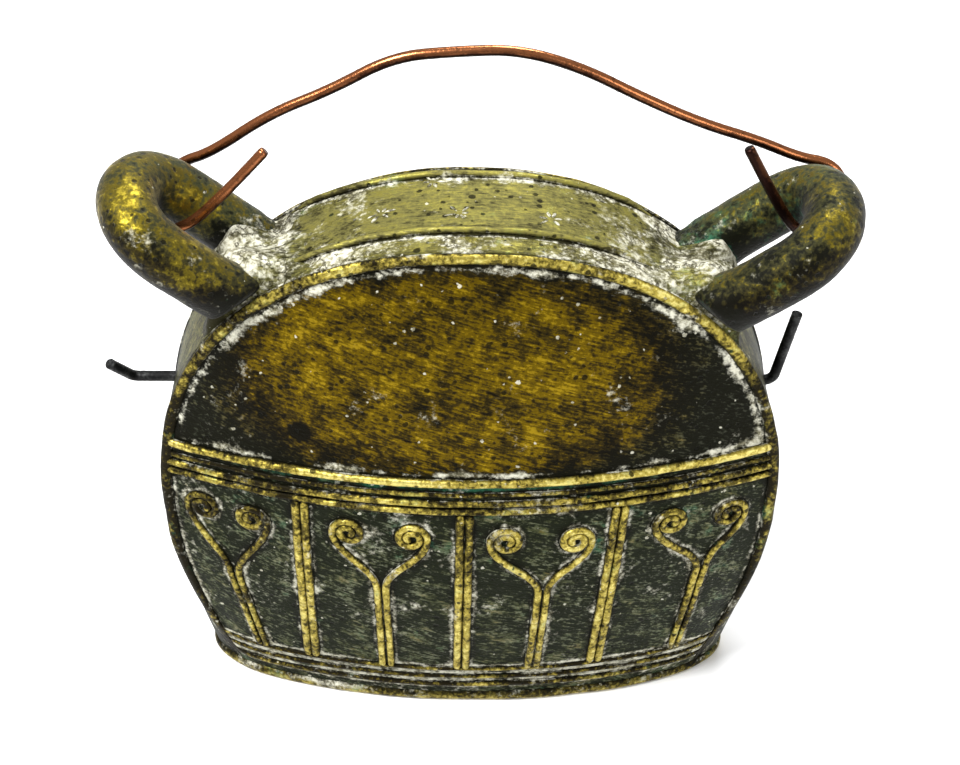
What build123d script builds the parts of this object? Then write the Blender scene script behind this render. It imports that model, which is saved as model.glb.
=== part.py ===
from build123d import *
import math
import os

# An elephant bell cast in brass: two bulging faces joined by a shoulder band, a ring
# on each shoulder, an iron clapper hung on a wire through the sides, and a copper wire
# bail hooked through the rings. X runs across the bell, -Y is its front, and Z is up.
# The origin is the middle of the mouth, which rests on the ground.

os.makedirs("parts", exist_ok=True)

# Driving dimensions, in millimetres and degrees.

# Outline of a face, seen from the front
face_half_width = 87.0
widest_height = 75.6
bell_height = 163.4
crown_power = 2.2
mouth_half_width = 78.7
tuck_power = 2.08

# Bulge of the faces, seen from the side and from above
belly = 33.5
belly_height = 68.5
belly_radius = 322.5
side_pinch = 17.7
wall = 3.4

# Mouth rim and raised threads
rim_height = 3.6
rim_swell = 1.3
thread_height = 1.2
rim_thread_outer = 0.3
rim_thread_inner = 3.1
band_threads = {"top": (96.2, 2.2), "second": (92.2, 1.6), "third": (89.2, 1.9), "bottom": (86.4, 1.9)}
foot_threads = {"top": (17.4, 1.8), "middle": (13.2, 1.8), "bottom": (8.8, 2.2)}
strap_rib_height = 1.4
strap_rib_width = 2.2
front_rib_y = -9.6
back_rib_y = 16.4
rib_end_angle = 33.0

# Pairs of upright threads: x at the top, x at the foot
bar_top_height = 85.2
bar_foot_height = 18.5
bar_thread_width = 2.1
bar_thread_spacing = 2.5
bars = {"left": (-47.1, -47.2), "middle": (-1.3, -2.2), "right": (41.9, 37.6)}

# Volutes: foot x, fork x and height, then the centres of the two curls
volute_thread_width = 2.2
volute_thread_spacing = 2.5
fork_rise = 5.0
fork_drop = 4.0
arm_drop = 10.0
curl_radius = 4.4
curl_eye_radius = 2.5
volutes = {
    "1": ((-63.0, -68.4, 54.5), (-75.3, 75.6), (-61.4, 74.8)),
    "2": ((-24.4, -25.0, 58.5), (-33.8, 76.0), (-16.2, 76.0)),
    "3": ((19.0, 21.0, 57.5), (10.2, 75.2), (29.6, 74.0)),
    "4": ((62.9, 67.2, 58.5), (56.6, 76.0), (73.6, 74.6)),
}

# Rings: where each stands on the shoulder, how far it leans out, and its own shape
ring_bar_radius = 7.95
ring_places = {"left": (-1, 41.0, 50.0), "right": (1, 44.0, 53.0)}
ring_reach = {"left": 38.5, "right": 40.0}
ring_front = {"left": -15.6, "right": -15.4}
ring_back = {"left": 13.0, "right": 14.2}
ring_crown_radius = 13.4
ring_foot_y = 10.8
ring_foot_depth = 8.0
ring_shoulder = 10.0
ring_knee_radius = 26.0
boss_height = 6.5
boss_half_depth = 15.5
boss_half_run = 11.0
boss_rounding = 2.2

# Iron wire, clapper and copper bail
wire_hole_radius = 2.15
clapper_wire_radius = 1.5
clapper_wire_height = 106.5
clapper_wire_points = [(-99.2, -5.4, 115.2), (-94.5, 0, 106.5), (84.9, 0, 106.5), (89.0, 0, 130.0)]
clapper_wire_bends = [2.5, 3.0]
eye_outer_radius = 6.2
eye_inner_radius = 2.7
eye_width = 6.0
shank_half_width = 2.6
bob_height = 36.5
bob_radius = 10.0
bob_length = 27.0
bob_shoulder = 0.8
bob_shoulder_rise = 0.16
bob_widest_drop = 0.12
bob_shoulder_drop = 0.36
bail_radius = 1.45

# Bail route: hooks in each ring's own directions (outwards, back, up through the ring)
left_hook = [
    (17.8, 4.0, 30.7),
    (18.9, 1.0, 6.0),
    (22.3, 0.9, -3.0),
    (24.6, 3.0, -9.4),
    (26.0, 9.5, -11.6),
    (26.8, 17.8, -10.8),
    (27.0, 23.4, -5.2),
    (27.0, 23.6, 2.0),
]
arch = [
    (-70.0, 21.6, 166.6),
    (-53.4, 21.2, 179.1),
    (-37.1, 20.9, 186.5),
    (-20.7, 20.6, 196.6),
    (-4.4, 20.4, 198.5),
    (11.9, 20.3, 199.2),
    (28.3, 20.3, 194.0),
    (44.6, 20.4, 185.1),
    (61.0, 20.6, 177.3),
    (76.0, 20.9, 172.2),
    (88.0, 21.2, 166.6),
]
right_hook = [
    (41.8, 20.6, -0.5),
    (42.6, 19.0, -6.5),
    (39.0, 13.4, -11.2),
    (32.6, 5.0, -10.6),
    (28.4, 0.6, -2.5),
    (28.6, -0.5, 9.0),
    (31.6, 0.0, 28.8),
]
bend_share = 0.45

# Working sizes, larger than the bell
beyond = 60.0
far = 400.0


def outline_point(turn):
    """Face outline: turn is 0 at the mouth, 1 at the widest height and 2 at the crown."""
    if turn <= 1:
        tuck = (face_half_width - mouth_half_width) * (1 - turn) ** tuck_power
        return face_half_width - tuck, widest_height * turn
    angle = (turn - 1) * math.pi / 2
    across = face_half_width * math.cos(angle) ** (2 / crown_power)
    rise = (bell_height - widest_height) * math.sin(angle) ** (2 / crown_power)
    return across, widest_height + rise


def outline_normal(turn):
    """Unit vector out of the outline at turn, as x and z."""
    step = 0.001
    before = outline_point(turn - step)
    after = outline_point(turn + step)
    run = after[0] - before[0]
    rise = after[1] - before[1]
    length = math.hypot(run, rise)
    return rise / length, -run / length


def moved_point(turn, outset):
    """Outline point moved out of the bell by outset."""
    point = outline_point(turn)
    normal = outline_normal(turn)
    return point[0] + outset * normal[0], point[1] + outset * normal[1]


def outline_prism(outset):
    """Endless prism along Y whose section is the face outline grown by outset."""
    turns = [-0.16, 0.1, 0.35, 0.6, 0.82, 1.0, 1.12, 1.26, 1.4, 1.54, 1.68, 1.8, 1.9]
    right = [moved_point(turn, outset) for turn in turns]
    left = [(-x, z) for x, z in reversed(right)]
    points = right + [(0, bell_height + outset)] + left
    edge = Spline(*points)
    face = make_face([edge, Line(edge @ 1, edge @ 0)])
    return extrude(Plane.XZ * face, amount=beyond, both=True)


def front_bulge(outset):
    """Solid behind the front face, grown by outset: a parabola in plan, turned about X."""
    reach = face_half_width + 30
    drop = side_pinch * (reach / face_half_width) ** 2
    depth = belly + outset
    axis_y = belly_radius - belly
    curve = Bezier((-reach, drop - depth), (0, -drop - depth), (reach, drop - depth))
    sides = Polyline((reach, drop - depth), (reach, axis_y), (-reach, axis_y), (-reach, drop - depth))
    profile = Plane.XY.offset(belly_height) * make_face([curve, sides])
    axis = Axis((0, axis_y, belly_height), (1, 0, 0))
    return revolve(profile, axis, 360).rotate(axis, 180)


def slab(low, high):
    """Everything between two heights."""
    height = high - low
    return Pos(0, 0, low + height / 2) * Box(far, far, height)


def bell_body(outset):
    """The bell's solid body, grown by outset, running on below the mouth."""
    front = front_bulge(outset)
    back = front.mirror(Plane.XZ)
    return outline_prism(outset) & front & back


def save(shape, node):
    """Write one node's solids to its own file."""
    solids = shape.solids()
    if not solids:
        raise ValueError(f"{node} has no solid")
    shape = solids[0] if len(solids) == 1 else Compound(solids)
    shape.label = node
    export_step(shape, f"parts/{node}.step")


def save_both_faces(shape, name):
    """Write a front piece and its copy on the back face."""
    save(shape, f"front_{name}")
    save(shape.mirror(Plane.XZ), f"back_{name}")


outer_prism = outline_prism(0)
inner_prism = outline_prism(-wall)
outer_bulge = front_bulge(0)
inner_bulge = front_bulge(-wall)
outer_body = bell_body(0)
inner_body = bell_body(-wall)
above_rim = slab(rim_height, bell_height + beyond)
front_half = Pos(0, -far / 2, 0) * Box(far, far, far * 2)
thread_layer = (front_bulge(thread_height) - outer_bulge) & front_half
thread_prism = outline_prism(-rim_thread_inner)


def shell_pieces():
    """The two faces, the shoulder band between them and the rim round the mouth."""
    face = (inner_prism & (outer_bulge - inner_bulge)) & front_half & above_rim
    save_both_faces(face, "face")
    band = (outer_body - inner_prism) & above_rim
    hole = Rot(0, 90, 0) * Cylinder(wire_hole_radius, 3 * face_half_width)
    save(band - Pos(0, 0, clapper_wire_height) * hole, "shoulder_band")
    rim = (bell_body(rim_swell) - inner_body) & slab(0, rim_height)
    save(rim, "mouth_rim")


def edge_threads():
    """The thread round the edge of each face, and the two ribs along the shoulder band."""
    ring = outline_prism(-rim_thread_outer) - thread_prism
    save_both_faces(ring & thread_layer & above_rim, "edge_thread")
    shoulder = outline_prism(strap_rib_height) - outer_prism
    reach = far * math.sin(math.radians(rib_end_angle))
    height = far * math.cos(math.radians(rib_end_angle))
    wedge = Polyline((0, 0), (reach, height), (-reach, height), (0, 0))
    fan = extrude(Plane.XZ * Pos(0, widest_height) * make_face(wedge), amount=beyond, both=True)
    for name, place in {"front_shoulder_rib": front_rib_y, "back_shoulder_rib": back_rib_y}.items():
        strip = Pos(0, place, bell_height) * Box(far, strap_rib_width, far)
        save(shoulder & strip & fan, name)


def level_threads():
    """Threads that run level across each face, above and below the panels."""
    for group, threads in {"band": band_threads, "foot": foot_threads}.items():
        for name, (height, width) in threads.items():
            strip = slab(height - width / 2, height + width / 2)
            save_both_faces(thread_prism & strip & thread_layer, f"{group}_thread_{name}")


def ribbon(curve, width):
    """Face of even width along a flat curve."""
    steps = [i / 8 for i in range(9)]
    left = []
    right = []
    for step in steps:
        point = curve @ step
        along = (curve % step).normalized()
        side = Vector(-along.Y, along.X) * width / 2
        left.append(point + side)
        right.append(point - side)
    right.reverse()
    sides = [Spline(*left), Line(left[-1], right[0]), Spline(*right), Line(right[-1], left[0])]
    return make_face(sides)


def raised(sketch):
    """Sketch seen from the front, as a thread's height of metal on the front face."""
    return extrude(Plane.XZ * sketch, amount=beyond) & thread_layer


def bar_pairs():
    """Pairs of upright threads that part the panels."""
    for name, (top_x, foot_x) in bars.items():
        pair = []
        for side in (-1, 1):
            shift = side * bar_thread_spacing / 2
            line = Line((foot_x + shift, bar_foot_height), (top_x + shift, bar_top_height))
            pair.append(raised(ribbon(line, bar_thread_width)))
        save_both_faces(Compound(pair), f"bar_{name}")


def volute_thread(foot, curl, side):
    """One thread of a volute: up the stem, out along an arm and round into a curl."""
    foot_x, fork_x, fork_z = foot
    shift = side * volute_thread_spacing / 2
    curl_x, curl_z = curl
    outer_x = curl_x + side * curl_radius
    start = (foot_x + shift, bar_foot_height)
    fork = (fork_x + shift, fork_z - fork_drop)
    above_fork = (fork_x + shift, fork_z + fork_rise)
    stem = ribbon(Line(start, fork), volute_thread_width)
    bend = Bezier(fork, above_fork, (outer_x, curl_z - arm_drop), (outer_x, curl_z))
    arm = ribbon(bend, volute_thread_width)
    half_width = volute_thread_width / 2
    ring = Circle(curl_radius + half_width) - Circle(curl_radius - half_width)
    bridge = Pos(0, -curl_radius / 2) * Rectangle(volute_thread_width, curl_radius)
    head = Pos(curl_x, curl_z) * (ring + Circle(curl_eye_radius) + bridge)
    return raised(stem + arm + head)


def volute_pieces():
    """Four forked threads with curled ends, one in each panel."""
    for name, (foot, left_curl, right_curl) in volutes.items():
        left = volute_thread(foot, left_curl, -1)
        right = volute_thread(foot, right_curl, 1)
        save_both_faces(Compound([left, right - left]), f"volute_{name}")


def ring_plane(name):
    """Plane of a ring: local x leans outwards, local y is Y, origin on the shoulder."""
    side, place, lean = ring_places[name]
    around = math.radians(place)
    power = 2 / crown_power
    across = side * face_half_width * math.sin(around) ** power
    rise = (bell_height - widest_height) * math.cos(around) ** power
    out = Vector(side * math.sin(math.radians(lean)), 0, math.cos(math.radians(lean)))
    return Plane((across, 0, widest_height + rise), x_dir=out, z_dir=out.cross(Vector(0, 1, 0)))


def ring_bar(name):
    """The round bar of a ring, from inside one foot to inside the other."""
    reach = ring_reach[name]
    front = ring_front[name]
    back = ring_back[name]
    path = FilletPolyline(
        (-ring_foot_depth, -ring_foot_y),
        (ring_shoulder, front),
        (reach, front),
        (reach, back),
        (ring_shoulder, back),
        (-ring_foot_depth, ring_foot_y),
        radius=[ring_knee_radius, ring_crown_radius, ring_crown_radius, ring_knee_radius],
    )
    path = ring_plane(name) * path
    return sweep(Plane(path @ 0, z_dir=path % 0) * Circle(ring_bar_radius), path=path)


def ring_pieces():
    """Each ring, and the rough mass of metal that joins its feet to the shoulder."""
    for name in ring_places:
        bar = ring_bar(name)
        save(bar - outer_prism, f"{name}_ring")
        block = Box(2 * boss_height, 2 * boss_half_depth, 2 * boss_half_run)
        mass = ring_plane(name) * fillet(block.edges(), boss_rounding)
        save(mass - outer_prism - bar, f"{name}_ring_boss")


def in_ring(name, out, back, up):
    """Place given in a ring's own directions: outwards, back, and up through the ring."""
    plane = ring_plane(name)
    side = ring_places[name][0]
    return plane.origin + plane.x_dir * out + plane.y_dir * back + plane.z_dir * side * up


def eased_bends(points):
    """A bend radius for each inner corner, as large as its two runs allow."""
    radii = []
    for before, corner, after in zip(points, points[1:], points[2:]):
        back = corner - before
        ahead = after - corner
        half_turn = math.radians(back.get_angle(ahead)) / 2
        radii.append(bend_share * min(back.length, ahead.length) / math.tan(half_turn))
    return radii


def wire(points, bends, radius):
    """Round wire along straight runs joined by arcs."""
    path = FilletPolyline(*points, radius=bends)
    return sweep(Plane(path @ 0, z_dir=path % 0) * Circle(radius), path=path)


def clapper_pieces():
    """The iron wire through the bell's sides and the clapper that swings on it."""
    save(wire(clapper_wire_points, clapper_wire_bends, clapper_wire_radius), "clapper_wire")
    centre = Pos(0, 0, clapper_wire_height)
    eye = centre * Rot(0, 90, 0) * Cylinder(eye_outer_radius, eye_width)
    hole = centre * Rot(0, 90, 0) * Cylinder(eye_inner_radius, 2 * eye_width)
    shank_length = clapper_wire_height - bob_height
    shank = Pos(0, 0, bob_height + shank_length / 2) * Cylinder(shank_half_width, shank_length)
    top = bob_height + bob_length / 2
    low = bob_height - bob_length / 2
    side = Spline(
        (shank_half_width, top),
        (bob_radius * bob_shoulder, bob_height + bob_length * bob_shoulder_rise),
        (bob_radius, bob_height - bob_length * bob_widest_drop),
        (bob_radius * bob_shoulder, bob_height - bob_length * bob_shoulder_drop),
        (shank_half_width, low),
    )
    close = Polyline((shank_half_width, low), (0, low), (0, top), (shank_half_width, top))
    bob = revolve(Plane.XZ * make_face([side, close]), Axis.Z, 360)
    save(eye + shank + bob - hole, "clapper")


def bail_piece():
    """The copper wire handle: a hook through each ring and an uneven arch between them."""
    points = [in_ring("left", *place) for place in left_hook]
    points += [Vector(*place) for place in arch]
    points += [in_ring("right", *place) for place in right_hook]
    bends = eased_bends(points)
    print("bail bend radii:", [round(bend, 1) for bend in bends])
    save(wire(points, bends, bail_radius), "bail")


shell_pieces()
edge_threads()
level_threads()
bar_pairs()
volute_pieces()
ring_pieces()
clapper_pieces()
bail_piece()
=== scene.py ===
import collections
import itertools
import math

import bpy
import numpy as np
from mathutils import Matrix, Vector, kdtree


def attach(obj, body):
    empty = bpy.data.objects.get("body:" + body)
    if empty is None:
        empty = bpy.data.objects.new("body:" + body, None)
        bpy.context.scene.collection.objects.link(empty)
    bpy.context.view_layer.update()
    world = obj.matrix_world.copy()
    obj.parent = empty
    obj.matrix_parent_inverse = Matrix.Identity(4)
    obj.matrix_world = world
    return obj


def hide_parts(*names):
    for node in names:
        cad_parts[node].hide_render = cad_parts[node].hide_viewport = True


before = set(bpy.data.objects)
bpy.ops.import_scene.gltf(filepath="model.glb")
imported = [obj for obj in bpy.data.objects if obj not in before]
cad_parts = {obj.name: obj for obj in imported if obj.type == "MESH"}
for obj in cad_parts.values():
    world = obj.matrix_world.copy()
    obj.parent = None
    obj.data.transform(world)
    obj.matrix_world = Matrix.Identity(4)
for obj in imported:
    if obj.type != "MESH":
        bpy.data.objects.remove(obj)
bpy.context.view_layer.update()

# The looks of a cast brass elephant bell: its skin, raised threads, rings, wire and bail.
# Sizes below are millimetres and degrees, in the frame of the CAD model, and become
# metres where a mesh is made. -Y is the front, Z is up, and the mouth rests at Z 0.

MM = 0.001

# Camera
camera_lens = 66.6
camera_target = (2.7, 0.0, 104.8)
camera_distance = 500.0
camera_elevation = 40.0
camera_yaw = -0.57
camera_roll = 0.726

# Sides, outline and bulge of the two faces, as in the CAD model
face_sides = {"front": -1, "back": 1}
face_half_width = 87.0
widest_height = 75.6
bell_height = 163.4
crown_power = 2.2
mouth_half_width = 78.7
tuck_power = 2.08
belly = 33.5
belly_height = 68.5
belly_radius = 322.5
side_pinch = 17.7
wall = 3.4

# Mouth rim, and the height at which it follows the faces
rim_height = 3.6
rim_level = 1.5
rim_swell = 1.3
rim_stations = 640

# Unevenness of the casting
dent_depth = 0.42
pock_depth = 0.09

# Rounding of the bell's two ends in plan, strongest at the mouth
end_pull = 7.0
end_pull_height = 66.0

# Threads
thread_root = 0.9
edge_inset = 1.5
edge_width = 3.0
edge_rise = 1.35
panel_foot = 18.5
panel_top = 85.2
pair_spacing = 2.5
thread_around = 14
thread_step = 0.55

# Level threads of a face: height on the bell, width, rise, polish and snow of each
level_threads = {
    "band_thread_top": (96.2, 2.6, 1.5, 0.8, 0.9),
    "band_thread_second": (92.2, 1.5, 0.8, 0.1, 1.1),
    "band_thread_third": (89.2, 2.1, 1.2, 0.4, 0.6),
    "band_thread_bottom": (86.4, 2.1, 1.2, 0.4, 0.6),
    "foot_thread_top": (17.4, 1.6, 0.9, 0.1, 0.9),
    "foot_thread_middle": (13.2, 1.7, 0.9, 0.1, 0.9),
    "foot_thread_bottom": (8.8, 2.2, 0.9, 0.1, 0.9),
}

# Bars between the panels: x at the top and at the foot of each
bars = {"left": (-47.1, -47.2), "middle": (-1.3, -2.2), "right": (41.9, 37.6)}
bar_width = 2.45
bar_rise = 1.15

# Volutes: foot and fork of each stem, middles of its two curls, and its polish
volutes = {
    "1": ((-63.0, -68.4, 54.5), (-75.3, 75.6), (-61.4, 74.8), 0.35),
    "2": ((-24.4, -25.0, 58.5), (-33.8, 76.0), (-16.2, 76.0), 0.7),
    "3": ((19.0, 21.0, 57.5), (10.2, 75.2), (29.6, 74.0), 0.7),
    "4": ((62.9, 67.2, 58.5), (56.6, 76.0), (73.6, 74.6), 0.4),
}
volute_width = 2.15
volute_rise = 1.2
curl_radius = 4.6
curl_eye = 1.0
curl_turns = 1.75

# Ribs along the shoulder band: y of each, and how many degrees from the crown they reach
rib_places = {"front": -9.6, "back": 16.4}
rib_width = 2.2
rib_height = 1.4
rib_reach = 33.0

# Rings: place and lean are degrees from the crown and from upright, reach is how far each stands
# out, and front and back are the y of its limbs
Ring = collections.namedtuple("Ring", "side place lean reach front back")
rings = {
    "left": Ring(-1, 41.0, 50.0, 38.5, -15.6, 13.0),
    "right": Ring(1, 44.0, 53.0, 40.0, -15.4, 14.2),
}
ring_radius = 7.95
ring_foot_y = 10.8
ring_foot_depth = 8.0
ring_shoulder = 10.0
ring_knee_radius = 26.0
ring_crown_radius = 13.4
ring_step = 0.9

# Bosses: reach along the band, mesh step and columns, climb up the ring's feet, mound between
# them, spill towards the crown, and depth of the root under the band's surface
boss_reach = 38
boss_step = 0.55
boss_columns = 64
boss_climb = 6.5
boss_mound = 4.2
boss_spill = 0.6
boss_root = 1.6

# The clapper wire's holes in the band
wire_hole = 2.15
wire_height = 106.5

# Flowers punched into the band: x and y of each
mark_places = ((-24.0, 1.4), (-3.6, -1.8), (21.1, -1.7), (-10.1, 13.6))
mark_petals = 6
mark_reach = 3.9

# Bail route, as in the CAD model: each hook along its ring's own directions, outwards, back and
# up, and the arch between them
bail_radius = 1.45
bail_step = 0.8
left_hook = [
    (17.8, 4.0, 30.7), (18.9, 1.0, 6.0), (22.3, 0.9, -3.0), (24.6, 3.0, -9.4),
    (26.0, 9.5, -11.6), (26.8, 17.8, -10.8), (27.0, 23.4, -5.2), (27.0, 23.6, 2.0),
]
arch = [
    (-70.0, 21.6, 166.6), (-53.4, 21.2, 179.1), (-37.1, 20.9, 186.5), (-20.7, 20.6, 196.6),
    (-4.4, 20.4, 198.5), (11.9, 20.3, 199.2), (28.3, 20.3, 194.0), (44.6, 20.4, 185.1),
    (61.0, 20.6, 177.3), (76.0, 20.9, 172.2), (88.0, 21.2, 166.6),
]
right_hook = [
    (41.8, 20.6, -0.5), (42.6, 19.0, -6.5), (39.0, 13.4, -11.2), (32.6, 5.0, -10.6),
    (28.4, 0.6, -2.5), (28.6, -0.5, 9.0), (31.6, 0.0, 28.8),
]


# Noise and small maths

def noise(points, size, seed):
    """Smooth noise from -1 to 1, with lumps about size across."""
    side = 32
    lattice = np.random.default_rng(seed).uniform(-1, 1, (side, side, side))
    cell = np.asarray(points, float) / size + 500.0
    base = np.floor(cell).astype(int)
    part = cell - base
    part = part * part * (3 - 2 * part)
    total = np.zeros(cell.shape[:-1])
    for corner in itertools.product((0, 1), repeat=3):
        weight = np.prod(np.where(np.array(corner) == 1, part, 1 - part), axis=-1)
        index = (base + corner) % side
        total += weight * lattice[index[..., 0], index[..., 1], index[..., 2]]
    return total


def rough(points, size, seed, layers=3):
    """Noise with finer layers on top of the first. Every use has a seed of its own."""
    total = 0
    for layer in range(layers):
        total = total + noise(points, size / 2**layer, seed + layer) / 2**layer
    return total / 1.6


def smooth_step(value, low, high):
    part = np.clip((value - low) / (high - low), 0, 1)
    return part * part * (3 - 2 * part)


def unit(vectors):
    return vectors / np.linalg.norm(vectors, axis=-1, keepdims=True)


def signed_power(value, power):
    """The value's size raised to a power, with its sign kept."""
    return np.sign(value) * np.abs(value) ** power


def circle(count):
    """Even angles round one turn."""
    return np.linspace(0, 2 * math.pi, count, endpoint=False)


def bead(angles, power):
    """Section of a raised bead: its rise above its base and its root under it, at angles round it."""
    height = np.sin(angles)
    return np.where(height > 0, np.abs(height) ** power, 0), np.minimum(height, 0)


def from_ends(count, step):
    """Distance from the nearer end, for points a step apart along a line."""
    return np.minimum(np.arange(count), np.arange(count)[::-1]) * step


def distances(points):
    """Distance of each point of a line from its start, along the line."""
    lengths = np.linalg.norm(np.diff(points, axis=0), axis=1)
    return np.concatenate([[0], np.cumsum(lengths)])


def in_space(flat, third):
    """Flat points with a third coordinate."""
    return np.column_stack([flat, np.broadcast_to(third, len(flat))])


def points_at(points, along, places):
    """Points of a line at the given distances from its start."""
    return np.stack([np.interp(places, along, points[:, i]) for i in range(points.shape[1])], -1)


def resampled(points, step):
    """The same line with its points an even step apart."""
    points = np.asarray(points, float)
    along = distances(points)
    count = max(3, int(round(along[-1] / step)) + 1)
    return points_at(points, along, np.linspace(0, along[-1], count))


def bezier(controls):
    t = np.linspace(0, 1, 40)[:, None]
    a, b, c, d = (np.array(p, float) for p in controls)
    return a * (1 - t) ** 3 + 3 * b * t * (1 - t) ** 2 + 3 * c * t**2 * (1 - t) + d * t**3


def rounded(points, radii, step):
    """Straight runs joined by arcs, one radius for each inner corner."""
    points = [np.array(p, float) for p in points]
    line = [points[0]]
    for before, corner, after, radius in zip(points, points[1:], points[2:], radii):
        back = unit(before - corner)
        ahead = unit(after - corner)
        half = math.acos(np.clip(back @ ahead, -1, 1)) / 2
        cut = radius / math.tan(half)
        centre = corner + unit(back + ahead) * radius / math.sin(half)
        start = corner + back * cut - centre
        end = corner + ahead * cut - centre
        sweep = math.pi - 2 * half
        count = max(2, int(sweep * radius / step) + 1)
        for part in np.linspace(0, 1, count + 1):
            mixed = start * math.sin((1 - part) * sweep) + end * math.sin(part * sweep)
            line.append(centre + mixed / math.sin(sweep))
    line.append(points[-1])
    return resampled(line, step)


def left_of(line):
    """Directions to the left of a flat line at each of its points."""
    ahead = unit(np.gradient(line, axis=0))
    return np.stack([-ahead[:, 1], ahead[:, 0]], -1)


def softened(line, passes):
    """The line with its corners eased and its ends kept."""
    line = line.copy()
    for _ in range(passes):
        line[1:-1] = (line[:-2] + 2 * line[1:-1] + line[2:]) / 4
    return line


# The bell's surfaces

def face_depth(x, z):
    """Distance from the middle plane to the outside of a face."""
    reach = belly_radius - side_pinch * (x / face_half_width) ** 2
    return np.sqrt(reach**2 - (z - belly_height) ** 2) - (belly_radius - belly)


def make_outline(step):
    """Outline of a face from the left end of the mouth over the crown to the right end."""
    rise = np.linspace(0, 1, 400)
    tuck = (face_half_width - mouth_half_width) * (1 - rise) ** tuck_power
    angle = np.linspace(0, math.pi / 2, 900)[1:]
    power = 2 / crown_power
    across = np.concatenate([face_half_width - tuck, face_half_width * np.cos(angle).clip(0) ** power])
    upper = widest_height + (bell_height - widest_height) * np.sin(angle) ** power
    height = np.concatenate([widest_height * rise, upper])
    left = np.stack([-across, height], -1)
    right = np.stack([across, height], -1)[-2::-1]
    return softened(resampled(np.concatenate([left, right]), step), 4)


outline_step = 0.8
outline = make_outline(outline_step)
outline_normal = left_of(outline)


def outline_at(station):
    """x, z and the two parts of the normal at indices along the outline."""
    parts = (outline[:, 0], outline[:, 1], outline_normal[:, 0], outline_normal[:, 1])
    return [np.interp(station, range(len(outline)), part) for part in parts]


def settle(points):
    """Draws the corners of the two ends in, so that they are round in plan at the mouth."""
    x, y, z = points[..., 0], points[..., 1], points[..., 2]
    fall = np.clip(1 - z / end_pull_height, 0, 1.1) ** 1.6
    depth = face_depth(np.clip(np.abs(x), 0, 80), z)
    across = np.clip(np.abs(y) / np.maximum(depth, 8), 0, 1.15) ** 2.6
    ends = np.clip(np.abs(x) / mouth_half_width, 0, 1.1) ** 7
    moved = points.copy()
    moved[..., 0] = x - np.sign(x) * end_pull * fall * across * ends
    return moved


def dents(points):
    """How far the casting swells or sinks from its true surface."""
    return dent_depth * rough(points, 34, 11) + pock_depth * rough(points, 7, 21)


def on_face(x, z, lift, side):
    """Points of the front face (side -1) or the back face (side 1), lifted off it."""
    step = 0.5
    depth = face_depth(x, z)
    slope_x = (face_depth(x + step, z) - face_depth(x - step, z)) / (2 * step)
    slope_z = (face_depth(x, z + step) - face_depth(x, z - step)) / (2 * step)
    normal = unit(np.stack([-slope_x, side * np.ones_like(depth), -slope_z], -1))
    base = np.stack([x, side * depth, z], -1)
    return settle(base + normal * (lift + dents(base))[..., None])


def on_strap(station, y, lift):
    """Points of the shoulder band, at indices along the outline, lifted off it."""
    x, z, across, upward = outline_at(station)
    base = np.stack(np.broadcast_arrays(x, y, z), -1)
    normal = np.stack(np.broadcast_arrays(across, 0.0 * y, upward), -1)
    return settle(base + normal * (lift + dents(base))[..., None])


def search_tree(points):
    """Tree that finds the nearest of some points in space."""
    tree = kdtree.KDTree(len(points))
    for index, place in enumerate(points):
        tree.insert(place, index)
    tree.balance()
    return tree


def nearest(points, line, half_width):
    """Distance in the plane from each point to the nearest point of the line, less its half width."""
    tree = search_tree([(x, z, 0) for x, z in line])
    flat = points.reshape(-1, 2)
    result = np.empty(len(flat))
    for index, place in enumerate(flat):
        _, found, distance = tree.find((place[0], place[1], 0))
        result[index] = distance - half_width[found]
    return result.reshape(points.shape[:-1])


def corners(grid):
    """The grid seen from each of the four corners of its cells."""
    return [grid[:-1, :-1], grid[1:, :-1], grid[1:, 1:], grid[:-1, 1:]]


# Meshes

# What the materials read at each point: millimetres from the nearest crease, wear together with
# painted highlight and painted shade, lime beside a crease, lime anywhere, verdigris, and slate
# instead of brown patina, which on the rings' upper sides is painted sheen
FIELDS = ("crease", "wear_and_light", "snow", "chalk", "green", "grey")
BORE = {"crease": 6.0, "wear_and_light": -0.1, "green": 0.2, "grey": 1.0}


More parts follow.
